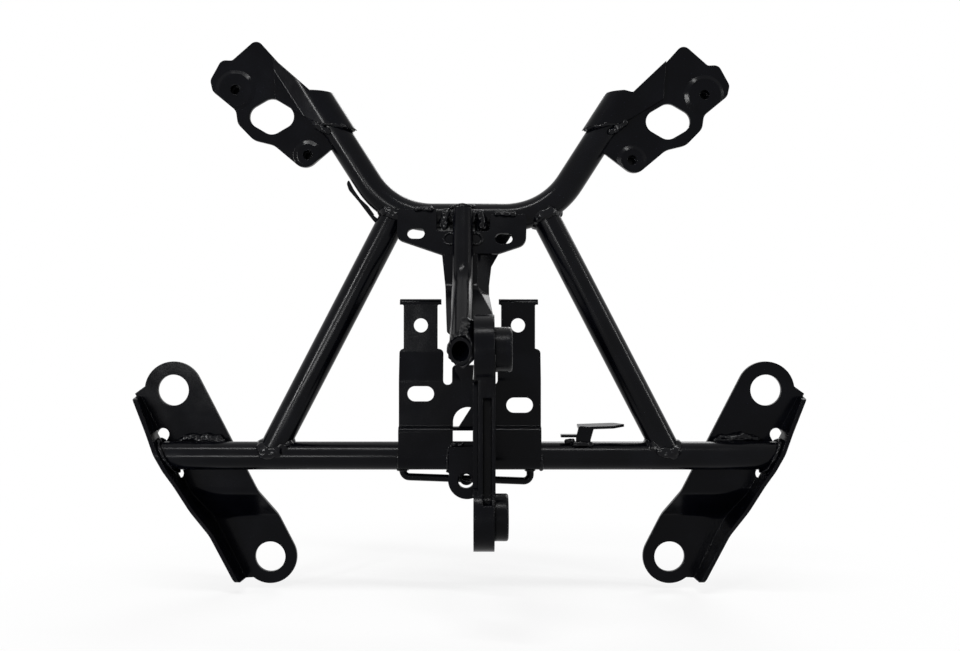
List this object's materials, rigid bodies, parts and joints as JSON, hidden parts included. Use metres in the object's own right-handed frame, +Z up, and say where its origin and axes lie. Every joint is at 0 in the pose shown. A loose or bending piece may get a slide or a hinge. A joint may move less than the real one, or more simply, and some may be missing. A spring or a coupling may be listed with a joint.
{
  "type": "motorcycle fairing stay",
  "caption": "Welded black steel fairing stay: cross tube, diagonals and a U-shaped bar carry mirror plates, side brackets, a centre bracket and a forged head bracket.",
  "frame": {"origin": "centre of the upper head bush's bore, at the head bracket's right face", "axes": "+X to the right seen from the rider's side, +Y forward on the motorcycle, +Z up"},
  "size_m": [0.4628, 0.1479, 0.3751],
  "materials": {
    "tube_black": "gloss black paint on drawn tube",
    "sheet_black": "gloss black paint on pressed sheet",
    "forged_black": "gloss black paint on a forging",
    "weld_seam": "gloss black paint on weld beads"
  },
  "bodies": {
    "root": {"cable_hook": "sheet_black", "centre_bracket": "sheet_black", "cross_tube": "tube_black", "diagonal_left": "tube_black", "diagonal_right": "tube_black", "ear_plate": "sheet_black", "foot_bead_left": "weld_seam", "foot_bead_right": "weld_seam", "guard_rod": "sheet_black", "harness_clip": "sheet_black", "head_bracket": "forged_black", "head_bush_lower": "forged_black", "head_bush_upper": "forged_black", "link_plate": "sheet_black", "meter_plate": "sheet_black", "mirror_plate_left": "sheet_black", "mirror_plate_right": "sheet_black", "pillar_channel": "sheet_black", "pillar_end_bead": "weld_seam", "pillar_top_bead": "weld_seam", "pillar_tube": "tube_black", "saddle_strap_left": "sheet_black", "saddle_strap_right": "sheet_black", "shoulder_bead_left": "weld_seam", "shoulder_bead_right": "weld_seam", "side_bracket_left": "sheet_black", "side_bracket_right": "sheet_black", "strap_bead_left": "weld_seam", "strap_bead_right": "weld_seam", "tube_back_bead_left": "weld_seam", "tube_back_bead_right": "weld_seam", "tube_end_bead_left": "weld_seam", "tube_end_bead_right": "weld_seam", "upper_bar": "tube_black", "weld_nut_left_1": "sheet_black", "weld_nut_left_2": "sheet_black", "weld_nut_right_1": "sheet_black", "weld_nut_right_2": "sheet_black"}
  },
  "joints": []
}
